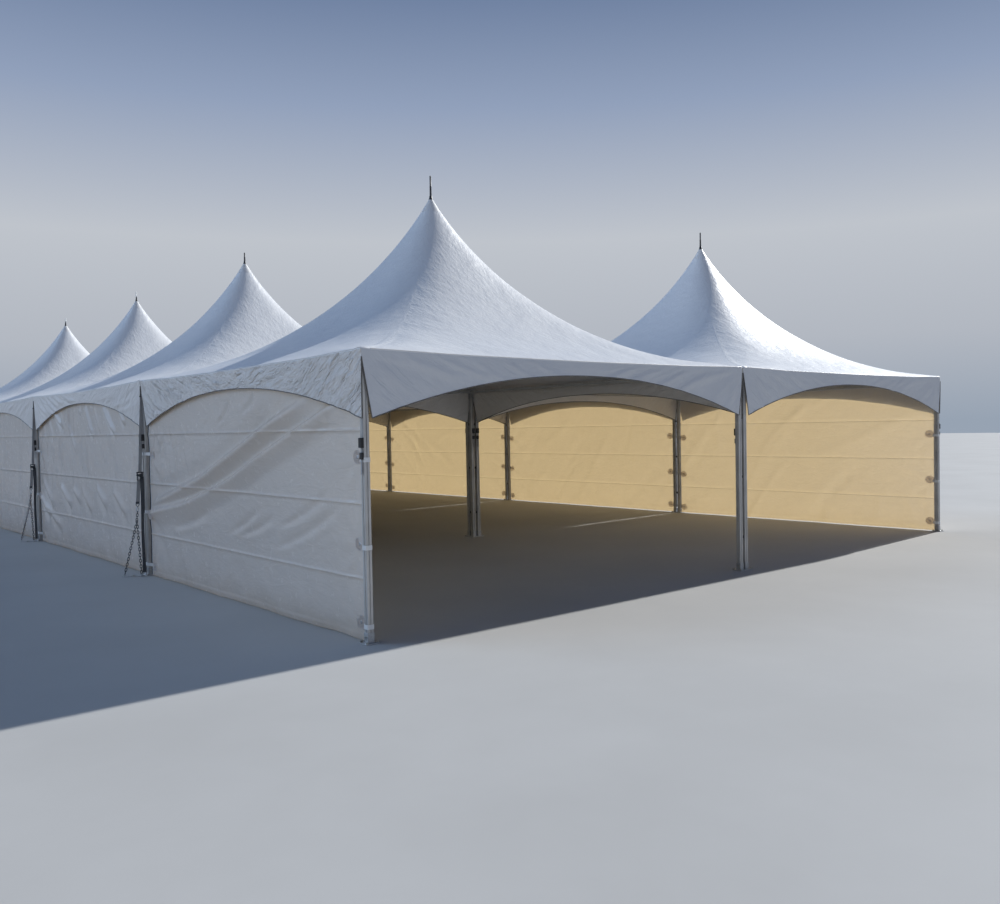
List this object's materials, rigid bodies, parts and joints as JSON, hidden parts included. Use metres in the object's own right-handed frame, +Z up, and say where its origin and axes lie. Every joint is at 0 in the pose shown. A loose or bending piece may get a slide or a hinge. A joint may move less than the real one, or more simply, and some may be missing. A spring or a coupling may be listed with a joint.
{
  "type": "high-peak frame marquee",
  "caption": "Open-fronted event marquee of joined square units with tensioned conical tops, arched valances, aluminium legs and clip-on side walls.",
  "frame": {"origin": "on the ground in the middle of the plan", "axes": "+Z up, +Y from the open front to the back, +X to the right seen from the front"},
  "size_m": [12.82, 24.428, 5.605],
  "materials": {
    "canopy_vinyl": "white coated vinyl fabric, satin, slightly translucent",
    "wall_vinyl": "white coated vinyl fabric, satin, translucent",
    "frame_aluminium": "mill finish, weathered",
    "mast_steel": "galvanized",
    "strap_webbing": "woven polyester webbing, grey"
  },
  "bodies": {
    "root": {"canopy_left_1": "canopy_vinyl", "eave_frame_left_1": "frame_aluminium", "king_mast_left_1": "mast_steel", "canopy_right_1": "canopy_vinyl", "eave_frame_right_1": "frame_aluminium", "king_mast_right_1": "mast_steel", "canopy_left_2": "canopy_vinyl", "eave_frame_left_2": "frame_aluminium", "king_mast_left_2": "mast_steel", "canopy_right_2": "canopy_vinyl", "eave_frame_right_2": "frame_aluminium", "king_mast_right_2": "mast_steel", "canopy_left_3": "canopy_vinyl", "eave_frame_left_3": "frame_aluminium", "king_mast_left_3": "mast_steel", "canopy_right_3": "canopy_vinyl", "eave_frame_right_3": "frame_aluminium", "king_mast_right_3": "mast_steel", "canopy_left_4": "canopy_vinyl", "eave_frame_left_4": "frame_aluminium", "king_mast_left_4": "mast_steel", "canopy_right_4": "canopy_vinyl", "eave_frame_right_4": "frame_aluminium", "king_mast_right_4": "mast_steel", "legs_left_1": "frame_aluminium", "legs_middle_1": "frame_aluminium", "legs_right_1": "frame_aluminium", "legs_left_2": "frame_aluminium", "legs_middle_2": "frame_aluminium", "legs_right_2": "frame_aluminium", "legs_left_3": "frame_aluminium", "legs_middle_3": "frame_aluminium", "legs_right_3": "frame_aluminium", "legs_left_4": "frame_aluminium", "legs_middle_4": "frame_aluminium", "legs_right_4": "frame_aluminium", "legs_left_5": "frame_aluminium", "legs_middle_5": "frame_aluminium", "legs_right_5": "frame_aluminium", "wall_left_1": "wall_vinyl", "wall_right_1": "wall_vinyl", "wall_left_2": "wall_vinyl", "wall_right_2": "wall_vinyl", "wall_left_3": "wall_vinyl", "wall_right_3": "wall_vinyl", "wall_left_4": "wall_vinyl", "wall_right_4": "wall_vinyl", "wall_back_left": "wall_vinyl", "wall_back_right": "wall_vinyl", "guy_strap_left_2": "strap_webbing", "guy_strap_right_2": "strap_webbing", "guy_strap_left_3": "strap_webbing", "guy_strap_right_3": "strap_webbing", "guy_strap_left_4": "strap_webbing", "guy_strap_right_4": "strap_webbing"}
  },
  "joints": []
}
